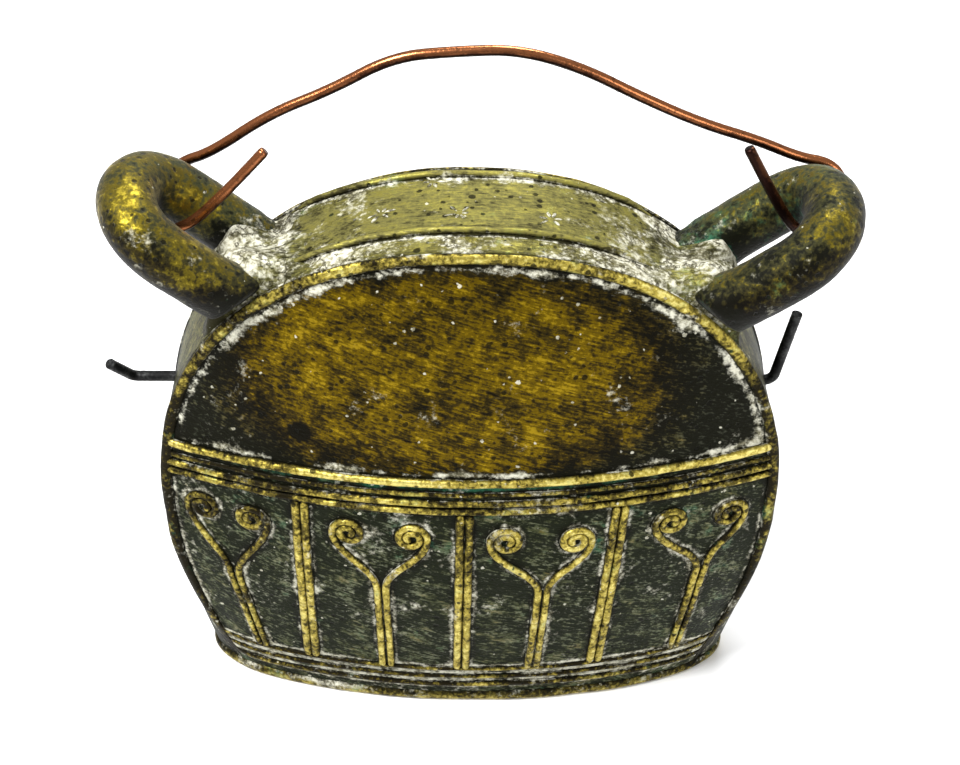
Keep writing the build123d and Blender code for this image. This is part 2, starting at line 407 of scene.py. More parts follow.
class Skin:
    """Points, faces and per-point fields of one piece, gathered part by part."""

    def __init__(self):
        self.points = []
        self.faces = []
        self.values = []
        self.count = 0

    def add(self, points, faces, fields):
        points = np.asarray(points).reshape(-1, 3)
        self.points.append(points)
        self.faces += [tuple(i + self.count for i in face) for face in faces]
        columns = [np.broadcast_to(fields.get(name, 0.0), len(points)) for name in FIELDS]
        self.values.append(np.stack(columns, -1))
        self.count += len(points)

    def add_tube(self, hoops, fields, flip=False, ring=False):
        """Joins hoops of points, one after another along a line, into a tube with closed ends, or
        into a ring without ends."""
        stations, around = hoops.shape[:2]
        hoops = hoops[:, ::-1] if flip else hoops
        index = np.arange(stations * around).reshape(stations, around)
        beside = np.roll(index, -1, axis=1)
        quads = np.stack([index, beside, np.roll(beside, -1, axis=0), np.roll(index, -1, axis=0)], -1)
        last = stations * around
        faces = quads[:stations if ring else -1].reshape(-1, 4).tolist()
        for i in range(0 if ring else around):
            j = (i + 1) % around
            faces.append((last, index[0, j], index[0, i]))
            faces.append((last + 1, index[-1, i], index[-1, j]))
        points = hoops.reshape(-1, 3)
        points = points if ring else np.concatenate([points, [hoops[0].mean(0)], [hoops[-1].mean(0)]])
        grown = {}
        for name, value in fields.items():
            value = np.broadcast_to(value, (stations, around))
            value = value[:, ::-1] if flip else value
            tips = [] if ring else [value[0].mean(), value[-1].mean()]
            grown[name] = np.concatenate([value.ravel(), tips])
        self.add(points, faces, grown)

    def add_shell(self, outer, inner, keep, fields, inside, flip=False):
        """A closed skin from two matching grids of points, solid where keep is true."""
        if flip:
            outer, inner, keep = outer[:, ::-1], inner[:, ::-1], keep[:, ::-1]
        rows, columns = outer.shape[:2]
        half = rows * columns
        index = np.arange(half).reshape(rows, columns)
        top = np.stack([corner[keep] for corner in corners(index)], -1)
        edges = np.concatenate([top[:, [i, (i + 1) % 4]] for i in range(4)])
        codes = edges[:, 0] * half + edges[:, 1]
        lone = edges[~np.isin(edges[:, 1] * half + edges[:, 0], codes)]
        walls = np.stack([lone[:, 1], lone[:, 0], lone[:, 0] + half, lone[:, 1] + half], -1)
        faces = np.concatenate([top, top[:, ::-1] + half, walls])
        used, compact = np.unique(faces, return_inverse=True)
        points = np.concatenate([outer.reshape(-1, 3), inner.reshape(-1, 3)])[used]
        grown = {}
        for name in FIELDS:
            outside = np.broadcast_to(fields.get(name, 0.0), (rows, columns))
            outside = outside[:, ::-1] if flip else outside
            grown[name] = np.concatenate([outside.ravel(), np.full(half, inside.get(name, 0.0))])[used]
        self.add(points, compact.reshape(faces.shape).tolist(), grown)

    def piece(self, name, material, slot, *nodes, body="bell"):
        """Makes the object, which rides on a body and stands for CAD nodes."""
        mesh = bpy.data.meshes.new(name)
        points = np.concatenate(self.points) * MM
        mesh.from_pydata(points.tolist(), [], self.faces)
        values = np.concatenate(self.values)
        for column, field in enumerate(FIELDS):
            attribute = mesh.attributes.new(field, "FLOAT", "POINT")
            attribute.data.foreach_set("value", values[:, column].astype(np.float32))
        mesh.shade_smooth()
        mesh.materials.append(material)
        made = put(name, mesh)
        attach(made, body)
        if nodes:
            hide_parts(*nodes)


def put(name, data):
    """Adds an object to the scene."""
    made = bpy.data.objects.new(name, data)
    bpy.context.scene.collection.objects.link(made)
    return made


def hoops_along(line, radius, around):
    """Round hoops of points across a line in space, without twist."""
    ahead = unit(np.gradient(line, axis=0))
    side = unit(np.cross(ahead[0], (0.1, 0.2, 1.0)))
    angles = circle(around)
    hoops = []
    for place, forward, size in zip(line, ahead, np.broadcast_to(radius, len(line))):
        side = unit(side - forward * (side @ forward))
        up = np.cross(forward, side)
        spread = np.cos(angles)[:, None] * side + np.sin(angles)[:, None] * up
        hoops.append(place + size * spread)
    return np.array(hoops)


# Materials

class Tree:
    """Short names for the nodes of one material."""

    def __init__(self, name):
        self.material = bpy.data.materials.new(name)
        self.material.use_nodes = True
        self.nodes = self.material.node_tree.nodes
        self.links = self.material.node_tree.links
        self.shader = self.nodes["Principled BSDF"]
        self.place = self.nodes.new("ShaderNodeTexCoord").outputs["Object"]

    def feed(self, socket, value):
        if isinstance(value, bpy.types.NodeSocket):
            self.links.new(value, socket)
        elif socket.type == "RGBA" and len(value) == 3:
            socket.default_value = (*value, 1)
        else:
            socket.default_value = value

    def add(self, kind, inputs, **settings):
        """A new node, with its settings made before its inputs are fed."""
        node = self.nodes.new("ShaderNode" + kind)
        for name, value in settings.items():
            setattr(node, name, value)
        for name, value in inputs.items():
            self.feed(node.inputs[name], value)
        return node

    def field(self, name):
        return self.add("Attribute", {}, attribute_name=name).outputs["Fac"]

    def math(self, operation, first, second=0.0, clamp=False):
        return self.add("Math", {0: first, 1: second}, operation=operation, use_clamp=clamp).outputs[0]

    def product(self, *factors):
        result = factors[0]
        for factor in factors[1:]:
            result = self.math("MULTIPLY", result, factor)
        return result

    def inverse(self, value, clamp=False):
        """1 less the value."""
        return self.math("SUBTRACT", 1.0, value, clamp)

    def total(self, *terms):
        """Sum of (socket, weight) terms and plain numbers."""
        result = None
        for term in terms:
            if isinstance(term, tuple):
                term = self.product(*term)
            result = term if result is None else self.math("ADD", result, term)
        return result

    def mapped(self, size, stretch=(1, 1, 1), turn=0.0, shift=0.0):
        """Places measured in sizes, in millimetres, along stretched, turned and shifted axes."""
        inputs = {
            "Vector": self.place,
            "Location": (shift * MM,) * 3,
            "Rotation": (0, math.radians(turn), 0),
            "Scale": tuple(size * MM / s for s in stretch),
        }
        return self.add("Mapping", inputs, vector_type="TEXTURE").outputs[0]

    def noise(self, size, detail, roughness, **axes):
        """Noise from 0 to 1 with features about size millimetres across."""
        place = self.mapped(size, **axes)
        inputs = {"Vector": place, "Scale": 1.0, "Detail": detail, "Roughness": roughness}
        return self.add("TexNoise", inputs).outputs["Fac"]

    def spots(self, size, radius, ragged, shift=0.0):
        """1 inside scattered round spots of uneven size, about size millimetres apart."""
        cells = self.add("TexVoronoi", {"Vector": self.mapped(size, shift=-shift * size), "Scale": 1.0})
        edge = self.total(cells.outputs["Distance"], (cells.outputs["Color"], 0.5), (ragged, -0.5), 0.1)
        return self.inverse(self.step(edge, radius * 0.6, radius))

    def step(self, value, low, high):
        """0 below low, 1 above high, and smooth between."""
        inputs = {"Value": value, "From Min": low, "From Max": high}
        return self.add("MapRange", inputs, interpolation_type="SMOOTHSTEP").outputs["Result"]

    def mix(self, share, first, second, kind="RGBA"):
        """The first colour where share is 0, the second where it is 1."""
        inputs = {"Factor": share, "A": first, "B": second}
        return self.add("Mix", inputs, data_type=kind).outputs["Result"]

    def blend(self, share, first, second):
        """The same for plain values."""
        return self.mix(share, first, second, "FLOAT")

    def finish(self, skin, metallic, roughness, height, depth):
        """Feeds the shader, with a bump whose height of 0 to 1 stands for depth millimetres."""
        self.feed(self.shader.inputs["Base Color"], skin)
        self.feed(self.shader.inputs["Metallic"], metallic)
        self.feed(self.shader.inputs["Roughness"], roughness)
        bump = self.add("Bump", {"Distance": depth * MM, "Height": height})
        self.feed(self.shader.inputs["Normal"], bump.outputs[0])
        return self.material


def linear(level):
    """Linear light of a display level from 0 to 255."""
    share = level / 255
    return share / 12.92 if level < 10.3 else ((share + 0.055) / 1.055) ** 2.4


def colour(red, green, blue):
    """Linear colour from 0-255 display values."""
    return (linear(red), linear(green), linear(blue))


NEAR_BLACK = colour(13, 13, 6)
CHALK_WHITE = colour(214, 212, 194)
CHALK_GREY = colour(126, 122, 98)
CRACK_BROWN = colour(52, 46, 30)
VERDIGRIS = colour(38, 100, 76)
DARK_SLATE = colour(20, 24, 11)
SLATE = colour(60, 64, 40)
POWDER = colour(128, 132, 112)


def brass(
    name, colours, contrast, grain=(0.16, 1), turn=17.0, shift=0.0, flecks=0.11, powder=0.0, haze=0.0
):
    """Old brass: patina, worn metal, pits, scratches, dirt, painted shade and white lime in the
    creases, and verdigris.
    """
    tree = Tree(name)
    dark, middle, gold, bright = (colour(*levels) for levels in colours)
    stretch = (grain[0], grain[1], grain[1])
    crease, wear_and_light, snow, chalk, green, grey = (tree.field(name) for name in FIELDS)
    broad = tree.noise(24, 3, 0.55, shift=shift)
    patch = tree.noise(7.5, 5, 0.62, shift=shift + 3)
    fine = tree.noise(1.3, 4, 0.65, shift=shift + 5)
    brushed = tree.noise(0.6, 3, 0.6, stretch=stretch, turn=turn, shift=shift)
    streaks = tree.noise(1.9, 4, 0.65, stretch=stretch, turn=turn + 6, shift=shift + 9)
    speck = tree.noise(2.0, 5, 0.7, shift=shift + 13)

    # Patina, from dark in the hollows to bright where it is worn, with painted highlight and painted
    # shade where the wear field holds them
    mottle = tree.total((broad, 1.0), (patch, 1.6), (streaks, 1.0), (brushed, 1.4), (fine, 1.2), -3.1)
    tone = tree.total(wear_and_light, (mottle, contrast))
    wear = tree.step(tone, 0.3, 0.8)
    dull = tree.mix(grey, dark, DARK_SLATE)
    skin = tree.mix(tree.step(tone, -0.15, 0.35), dull, tree.mix(grey, middle, SLATE))
    skin = tree.mix(tree.step(tone, 0.3, 0.72), skin, gold)
    skin = tree.mix(tree.step(tone, 0.75, 1.2), skin, bright)

    # Pale dust in the brush strokes, and black pits
    strokes = tree.step(tree.total(brushed, (fine, 0.6), (patch, 0.5)), 1.08, 1.3)
    skin = tree.mix(tree.product(strokes, grey, powder), skin, POWDER)
    pits = tree.spots(2.9, 0.24, fine, shift)
    skin = tree.mix(tree.product(pits, 0.85), skin, NEAR_BLACK)

    # Dirt and painted shade in the creases, and verdigris
    depth = tree.total(crease, (patch, 1.3), (brushed, 1.3), (fine, 0.6), -1.6)
    shade = tree.inverse(tree.step(depth, 0.0, 2.4))
    skin = tree.mix(tree.product(shade, 0.88), skin, NEAR_BLACK)
    teal = tree.step(tree.total(green, (patch, 1.5), (fine, 0.6)), 1.15, 1.6)
    skin = tree.mix(tree.product(teal, 0.7), skin, VERDIGRIS)

    # Lime: a line along each crease, a crust where there is chalk, and loose flecks
    off = tree.math("ABSOLUTE", tree.math("SUBTRACT", depth, 0.62))
    line = tree.inverse(tree.math("DIVIDE", off, 1.2), clamp=True)
    cover = tree.noise(11, 3, 0.6, shift=shift + 21)
    lumps = tree.total((cover, 3.0), (speck, 1.8), (fine, 1.0), -2.9)
    crust = tree.step(tree.total((tree.product(line, snow), 1.2), chalk, lumps), 0.35, 1.2)
    dots = tree.spots(3.1, flecks, fine, shift + 17)
    lime = tree.math("MAXIMUM", crust, tree.product(dots, 0.75))
    pale = tree.step(tree.total(fine, (speck, 0.8), (patch, 1.1)), 1.2, 1.65)
    ridge = tree.math("ABSOLUTE", tree.math("SUBTRACT", tree.noise(8, 6, 0.68, shift=shift + 33), 0.5))
    cracks = tree.product(tree.inverse(tree.step(ridge, 0.004, 0.026)), tree.step(chalk, 0.2, 0.5))
    white = tree.mix(tree.product(cracks, 0.85), tree.mix(pale, CHALK_GREY, CHALK_WHITE), CRACK_BROWN)
    skin = tree.mix(tree.product(lime, 0.93), skin, white)

    tree.shader.inputs["Specular IOR Level"].default_value = 0.05
    tree.shader.inputs["Sheen Weight"].default_value = haze
    metallic = tree.product(tree.blend(wear, 0.2, 0.75), tree.inverse(lime))
    matt = tree.blend(wear, 0.5, tree.blend(brushed, 0.5, 0.3))
    raised = ((brushed, 0.35), (fine, 0.4), (patch, 0.4), (lime, 0.35), (pits, -0.6), (cracks, -0.6))
    return tree.finish(skin, metallic, tree.blend(lime, matt, 0.9), tree.total(*raised), 0.45)


def iron(name, dark, pale):
    """Blackened iron with a little dull wear."""
    tree = Tree(name)
    patch = tree.noise(4, 5, 0.65)
    fine = tree.noise(0.8, 3, 0.6)
    wear = tree.step(tree.total(patch, (fine, 0.5)), 0.68, 1.0)
    height = tree.total((patch, 0.7), (fine, 0.3))
    skin = tree.mix(wear, colour(*dark), colour(*pale))
    return tree.finish(skin, 0.7, tree.blend(wear, 0.62, 0.42), height, 0.3)


def copper(name):
    """Copper wire gone brown, redder and brighter where it is rubbed, and along its top where a
    highlight is painted.
    """
    tree = Tree(name)
    wear_and_light = tree.field("wear_and_light")
    broad = tree.noise(22, 3, 0.55)
    patch = tree.noise(3.5, 5, 0.65)
    fine = tree.noise(0.7, 3, 0.6)
    rubbed_and_lit = tree.step(tree.total(wear_and_light, (broad, 0.8), (patch, 0.8), (fine, 0.4), -1.0), 0.05, 0.75)
    skin = tree.mix(rubbed_and_lit, colour(30, 11, 5), colour(158, 98, 60))
    brown = tree.step(tree.total(patch, (fine, 0.4)), 0.74, 0.95)
    skin = tree.mix(tree.product(brown, 0.8), skin, colour(34, 17, 9))
    height = tree.total((patch, 0.6), (fine, 0.4))
    return tree.finish(skin, 0.9, tree.blend(rubbed_and_lit, 0.36, 0.22), height, 0.12)


face_brass = brass(
    "face_brass", ((10, 8, 1), (44, 35, 5), (91, 73, 7), (140, 116, 20)), contrast=1.35, powder=0.45
)
strap_brass = brass(
    "strap_brass", ((54, 50, 26), (108, 103, 56), (134, 127, 60), (170, 162, 96)),
    contrast=1.0, turn=0.0, shift=31.0, flecks=0.07,
)
ring_brass = brass(
    "ring_brass", ((8, 6, 1), (40, 34, 8), (92, 81, 20), (158, 141, 44)),
    contrast=1.15, grain=(0.4, 0.4), shift=51.0, flecks=0.04, haze=0.06,
)
thread_brass = brass(
    "thread_brass", ((24, 20, 6), (88, 78, 30), (158, 142, 62), (208, 194, 112)),
    contrast=1.45, grain=(0.5, 0.5), shift=71.0, flecks=0.06,
)
wire_iron = iron("wire_iron", (10, 10, 11), (56, 57, 56))
clapper_iron = iron("clapper_iron", (40, 26, 18), (96, 66, 44))
bail_copper = copper("bail_copper")


# Threads on the faces

def thread_hoops(line, width, height, seed):
    """Hoops of a raised thread along a line drawn on a face: x, z and lift of each point."""
    line = resampled(line, thread_step)
    side = left_of(line)
    place = in_space(line, seed * 7.0)
    centre = line + side * (0.16 * rough(place, 9, 31))[:, None]
    breadth = width / 2 * (1 + 0.12 * rough(place, 6, 41))
    rise = height * (1 + 0.2 * rough(place, 7, 51))
    reach = from_ends(len(line), thread_step)
    end = np.sqrt(1 - np.clip(1 - (reach + 0.12) / (0.7 * width), 0, 1) ** 2)
    angles = circle(thread_around)
    up, down = bead(angles, 0.8)
    spread = signed_power(np.cos(angles), 0.85) * (breadth * end)[:, None]
    lift = up * (rise * (0.25 + 0.75 * end))[:, None] + down * thread_root
    flat = centre[:, None] + side[:, None] * spread[..., None]
    return flat[..., 0], flat[..., 1], lift


def crease_of(crest):
    """Distance from the crease beside a raised line, from 0 at its foot to 1 along its crest."""
    return 3.4 * crest - 0.2


def half_width_at(height):
    """Half width of the outline at heights below the crown."""
    right = outline[len(outline) // 2:]
    return np.interp(height, right[::-1, 1], right[::-1, 0])


def level_line(height):
    reach = half_width_at(height) - edge_inset
    x = np.linspace(-reach, reach, 200)
    return np.stack([x, np.full_like(x, height)], -1)


def volute_line(foot, curl, side):
    """One thread of a volute: up the stem, along an arm and round into a tight curl."""
    foot_x, fork_x, fork_z = foot
    shift = side * pair_spacing / 2
    curl_x, curl_z = curl
    outer_x = curl_x + side * curl_radius
    fork = (fork_x + shift, fork_z - 4)
    stem = np.array([(foot_x + shift, panel_foot - 1), fork])
    arm = bezier([fork, (fork_x + shift, fork_z + 5), (outer_x, curl_z - 9), (outer_x, curl_z)])
    angle = np.linspace(0, 2 * math.pi * curl_turns, 120)
    radius = curl_radius + (curl_eye - curl_radius) * angle / angle[-1]
    curl_line = np.stack([curl_x + side * radius * np.cos(angle), curl_z + radius * np.sin(angle)], -1)
    return softened(resampled(np.concatenate([stem, arm[1:], curl_line[1:]]), 0.5), 3)


def face_lines():
    """Every thread of a face: its node's name, lines, width, height, polish and snow."""
    groups = []
    for name, (height, width, rise, wear_and_light, snow) in level_threads.items():
        groups.append((name, [level_line(height)], width, rise, wear_and_light, snow))
    for name, (top_x, foot_x) in bars.items():
        lines = []
        for side in (-1, 1):
            shift = side * pair_spacing / 2
            lines.append(np.array([(foot_x + shift, panel_foot - 1), (top_x + shift, panel_top)]))
        groups.append((f"bar_{name}", lines, bar_width, bar_rise, 0.7, 0.7))
    for name, (foot, left_curl, right_curl, wear_and_light) in volutes.items():
        lines = [volute_line(foot, left_curl, -1), volute_line(foot, right_curl, 1)]
        groups.append((f"volute_{name}", lines, volute_width, volute_rise, wear_and_light, 0.8))
    return groups


def edge_line():
    """The line of the thread round the edge of a face, a little inside its outline."""
    inside = outline - outline_normal * edge_inset
    return inside[inside[:, 1] > rim_height - 1]


def make_threads(lines):
    """The raised threads of both faces, one piece for each CAD node."""
    for face, side in face_sides.items():
        for seed, (name, group, width, height, wear_and_light, snow) in enumerate(lines):
            skin = Skin()
            for number, line in enumerate(group):
                x, z, lift = thread_hoops(line, width, height, seed + 20 * number + 3)
                crest = np.clip(lift / height, 0, 1)
                wear = wear_and_light - 0.6 * (1 - crest)
                fields = dict(crease=crease_of(crest), wear_and_light=wear, snow=0.5 * snow)
                skin.add_tube(on_face(x, z, lift, side), fields, side < 0)
            node = f"{face}_{name}"
            skin.piece(f"{node}_relief", thread_brass, "thread_brass", node)


def make_edge_threads():
    """The round thread at the corner between each face and the shoulder band."""
    line = edge_line()
    angles = circle(18)
    crown, root = bead(angles, 0.85)
    for face, side in face_sides.items():
        place = in_space(line, side * 40.0)
        breadth = edge_width / 2 * (1 + 0.12 * rough(place, 7, 61))
        rise = edge_rise * (1 + 0.2 * rough(place, 8, 71))[:, None]
        up = crown * rise
        out = np.cos(angles) * breadth[:, None] + 0.35 * up
        flat = line[:, None] + left_of(line)[:, None] * out[..., None]
        crest = np.clip(up / rise, 0, 1)
        top = smooth_step(line[:, 1], 90, 150)[:, None]
        wear_and_light = 0.75 * top - 0.15 - 0.5 * (1 - crest)
        skin = Skin()
        fields = dict(crease=crease_of(crest), wear_and_light=wear_and_light, snow=0.3)
        hoops = on_face(flat[..., 0], flat[..., 1], up + root * thread_root, side)
        skin.add_tube(hoops, fields, side > 0)
        node = f"{face}_edge_thread"
        skin.piece(f"{node}_relief", thread_brass, "thread_brass", node)


# The faces

face_step = 0.75
face_inset = 1.9
stain_place = (-45.7, 108.9)
stain_radius = 2.9


def make_faces(lines):
    """The two bulging plates, with fields that say where lime, wear and verdigris gather."""
    x = np.arange(-face_half_width, face_half_width + face_step, face_step)
    z = np.arange(rim_height - 1.2, bell_height, face_step)
    z_grid, x_grid = np.meshgrid(z, x, indexing="ij")
    flat = np.stack([x_grid, z_grid], -1)
    to_edge = nearest(flat, outline, np.zeros(len(outline)))
    inside = (np.abs(x_grid) < half_width_at(z)[:, None]) & (to_edge > face_inset)
    keep = np.all(corners(inside), axis=0)

    threads = [(line, width) for _, group, width, _, _, _ in lines for line in group]
    threads.append((edge_line(), edge_width))
    samples = [resampled(line, 0.5) for line, _ in threads]
    widths = [np.full(len(sample), width / 2) for sample, (_, width) in zip(samples, threads)]
    crease = nearest(flat, np.concatenate(samples), np.concatenate(widths))

    dome = smooth_step(z_grid, 96, 98)
    border = 1 - smooth_step(z_grid, 18, 21)
    panel = (1 - border) * (1 - dome)
    middle = 1 - (np.abs(x_grid + 6) / 66) ** 2.2 - (np.abs(z_grid - 128) / 36) ** 2.6
    stain = np.exp(-(np.hypot(x_grid - stain_place[0], z_grid - stain_place[1]) / stain_radius) ** 6)
    wear_and_light = dome * (np.clip(middle - 0.16, -0.6, 0.56) - 0.9 * stain) - 0.1 * panel - 0.08 * border
    snow = 0.55 + 0.25 * dome + 0.2 * border - 0.5 * panel * np.exp(-np.clip(85 - z_grid, 0, 90) / 2.5)
    crease = crease * (1 - 0.45 * dome)
    near_top = np.exp(-np.abs(z_grid - 80) / 9) * panel
    groove = np.exp(-((z_grid - 94.3) / 1.1) ** 2) * np.exp(-(x_grid / 50) ** 2)
    green = 0.12 * near_top + 0.5 * groove - 0.06 * panel - 0.5 * dome
    chalk = 0.2 * border - 0.02 * panel - 0.12 * dome
    grey = 1 - dome * np.clip(0.8 + 0.6 * middle, 0.7, 1)

    fields = dict(crease=crease, wear_and_light=wear_and_light, snow=snow, chalk=chalk, green=green, grey=grey)
    for face, side in face_sides.items():
        outer = on_face(x_grid, z_grid, 0.0, side)
        inner = on_face(x_grid, z_grid, -wall, side)
        skin = Skin()
        skin.add_shell(outer, inner, keep, fields, BORE, side > 0)
        skin.piece(f"{face}_face_plate", face_brass, "face_brass", f"{face}_face")


# The shoulder band: its rounded edge, as depths under the surface and widths trimmed off, and
# the width of the corner

band_columns = 45
band_edge = ((2.4, 0.0), (1.5, 0.0), (0.8, 0.05), (0.3, 0.15))
band_corner = 0.7


def ring_station(name):
    """Index along the outline where a ring stands."""
    angle = math.radians(rings[name].place)
    power = 2 / crown_power
    x = rings[name].side * face_half_width * math.sin(angle) ** power
    z = widest_height + (bell_height - widest_height) * math.cos(angle) ** power
    return int(np.argmin(np.hypot(outline[:, 0] - x, outline[:, 1] - z)))


def crust_at(inward):
    """How thickly lime covers the band, by the distance from a ring towards the crown."""
    return 1.05 * np.clip(1.0 - np.where(inward > 0, inward / 46, -inward / 15), 0, 1)


def strap_half(station):
    """Half the width of the shoulder band at indices along the outline."""
    x, z, _, _ = outline_at(station)
    return face_depth(x, z)


def make_strap():
    """The band over the crown and down both sides, with rounded edges and two wire holes."""
    first = int(np.argmax(outline[:, 1] > rim_height - 1.2))
    stations = np.arange(first, len(outline) - first)[:, None]
    half = strap_half(stations)
    edge = np.array(band_edge)
    inset, trim = np.concatenate([edge, np.zeros((band_columns - 2, 2)), edge[::-1]]).T
    across = np.pad(np.linspace(-1, 1, band_columns), len(edge) - 1, mode="edge")
    y = across * (half - trim)
    y[:, [len(edge), -len(edge) - 1]] = (half - band_corner) * (-1, 1)
    outer = on_strap(stations, y, -inset)
    inner = on_strap(stations, np.clip(y, wall / 2 - half, half - wall / 2), -wall)

    # Points of the cells that each wire hole touches are drawn on to its circle
    spread = np.hypot(outer[..., 1], outer[..., 2] - wire_height)
    keep = np.mean(corners(spread), axis=0) > wire_hole
    touched = np.zeros(spread.shape, bool)
    for corner in corners(touched):
        corner |= ~keep
    angle = np.arctan2(outer[..., 2] - wire_height, outer[..., 1])
    for grid in (outer, inner):
        grid[..., 1] = np.where(touched, wire_hole * np.cos(angle), grid[..., 1])
        grid[..., 2] = np.where(touched, wire_height + wire_hole * np.sin(angle), grid[..., 2])

    # Creases beside the ribs, edges and holes, and lime round the rings and beside the ribs
    height = outline[stations, 1]
    top = smooth_step(height, 95, 140)
    rib = np.minimum(np.abs(y - rib_places["front"]), np.abs(y - rib_places["back"])) - rib_width / 2
    with_ribs = smooth_step(height, 132, 142)
    crease = np.minimum(np.where(with_ribs > 0.5, rib, 9.0), np.maximum(half - np.abs(y), 0.4))
    crease = np.minimum(crease, np.clip(spread - wire_hole, 0, 9))
    # Painted shadow line along the front foot of the front rib
    under_rib = np.exp(-((y - rib_places["front"] + rib_width / 2 + 0.5) / 0.6) ** 2)
    crease = crease - 1.5 * under_rib * with_ribs
    crust = np.zeros_like(y)
    for name in rings:
        away = (stations - ring_station(name)) * outline_step
        crust = np.maximum(crust, crust_at(-rings[name].side * away))
    front_channel = smooth_step(y, -half, 3 - half) * (1 - smooth_step(y, -11.5, -10.5))
    back_channel = smooth_step(y, 11.0, 13.0) * (1 - smooth_step(y, 15.0, 15.6))
    chalk = crust + with_ribs * (0.55 * front_channel + 0.3 * back_channel)
    grey = 0.9 - 0.75 * top
    fields = dict(crease=crease, wear_and_light=0.65 * top - 0.3, snow=0.35, chalk=chalk - 0.04, grey=grey)
    skin = Skin()
    skin.add_shell(outer, inner, keep, fields, BORE)
    skin.piece("shoulder_band_plate", strap_brass, "band_brass", "shoulder_band")


def make_ribs():
    """The two ribs along the top of the shoulder band."""
    angle = np.degrees(np.arctan2(outline[:, 0], outline[:, 1] - widest_height))
    stations = np.flatnonzero(np.abs(angle) < rib_reach).astype(float)
    around = circle(thread_around)
    up, down = bead(around, 0.8)
    end = smooth_step(from_ends(len(stations), outline_step), -1, 9)
    for name, place in rib_places.items():
        spot = np.column_stack(np.broadcast_arrays(stations, place, 0.0))
        bend = place + 0.25 * rough(spot, 20, 81) - np.sign(place) * 0.8 * (1 - end)
        y = bend[:, None] + rib_width / 2 * np.cos(around) * (0.5 + 0.5 * end[:, None])
        rise = rib_height * end * (1 + 0.15 * rough(spot, 12, 91))
        lift = up * rise[:, None] + down * thread_root
        skin = Skin()
        fields = dict(crease=crease_of(up), wear_and_light=0.5 * up - 0.05, snow=0.3)
        skin.add_tube(on_strap(stations[:, None], y, lift), fields)
        skin.piece(f"{name}_rib_relief", strap_brass, "thread_brass", f"{name}_shoulder_rib")


# The mouth rim

def make_rim():
    """The thickened rim round the open mouth."""
    reach = half_width_at(rim_level)
    x = np.linspace(-reach, reach, 260)
    depth = face_depth(x, rim_level)
    front = np.stack([x, -depth], -1)
    y = np.linspace(-depth[0], depth[0], 30)[1:-1]
    right = np.stack([np.full_like(y, reach), y], -1)
    loop = np.concatenate([front, right, -front, -right])
    flat = settle(in_space(loop, rim_level))[:, :2]
    closed = np.concatenate([flat, flat[:1]])
    along = distances(closed)
    flat = points_at(closed, along, np.linspace(0, along[-1], rim_stations, endpoint=False))
    for _ in range(14):
        flat = (np.roll(flat, 1, 0) + 2 * flat + np.roll(flat, -1, 0)) / 4
    ahead = unit(np.roll(flat, -1, 0) - np.roll(flat, 1, 0))
    out = np.stack([ahead[:, 1], -ahead[:, 0]], -1)
    angles = circle(26)
    across = signed_power(np.cos(angles), 0.75) * (wall + rim_swell) / 2 + (rim_swell - wall) / 2
    rise = signed_power(np.sin(angles), 0.75)
    place = in_space(flat, 0.0)
    swell = 0.35 * rough(place, 22, 101)[:, None]
    hoops = np.empty((len(flat), len(angles), 3))
    hoops[..., :2] = flat[:, None] + out[:, None] * (across + swell * (across > 0))[..., None]
    upper = rim_height + 0.4 + 0.5 * rough(place, 16, 111)[:, None]
    hoops[..., 2] = upper * (rise + 1) / 2
    outside = np.cos(angles)
    crease = 0.3 + 0.5 * (rim_height - hoops[..., 2]) + 2 * (outside < 0)
    wear_and_light = 0.25 + 0.4 * outside - 0.25 * (hoops[..., 2] / rim_height)
    skin = Skin()
    skin.add_tube(hoops, dict(crease=crease, wear_and_light=wear_and_light, snow=0.35), flip=True, ring=True)
    skin.piece("mouth_rim_roll", thread_brass, "rim_brass", "mouth_rim")


# The rings and the rough metal round their feet

def ring_axes(name):
    """Origin of a ring, and its directions outwards and back."""
    x, z = outline[ring_station(name)]
    tilt = math.radians(rings[name].lean)
    out = np.array([rings[name].side * math.sin(tilt), 0, math.cos(tilt)])
    return np.array([x, 0, z]), out, np.array([0.0, 1.0, 0.0])


def kept_on_strap(points):
    """Points just above the band's surface, or under it, drawn in between the two faces."""
    tree = search_tree([(x, 0, z) for x, z in outline])
    kept = points.copy()
    for place in kept.reshape(-1, 3):
        spot, found, _ = tree.find((place[0], 0, place[2]))
        across, upward = outline_normal[found]
        rise = (place[0] - spot[0]) * across + (place[2] - spot[2]) * upward
        over = max(0.0, abs(place[1]) - face_depth(place[0], place[2]) + 1.0)
        place[1] -= math.copysign(over * (1 - smooth_step(rise, 0.0, 5.0)), place[1])
    return kept


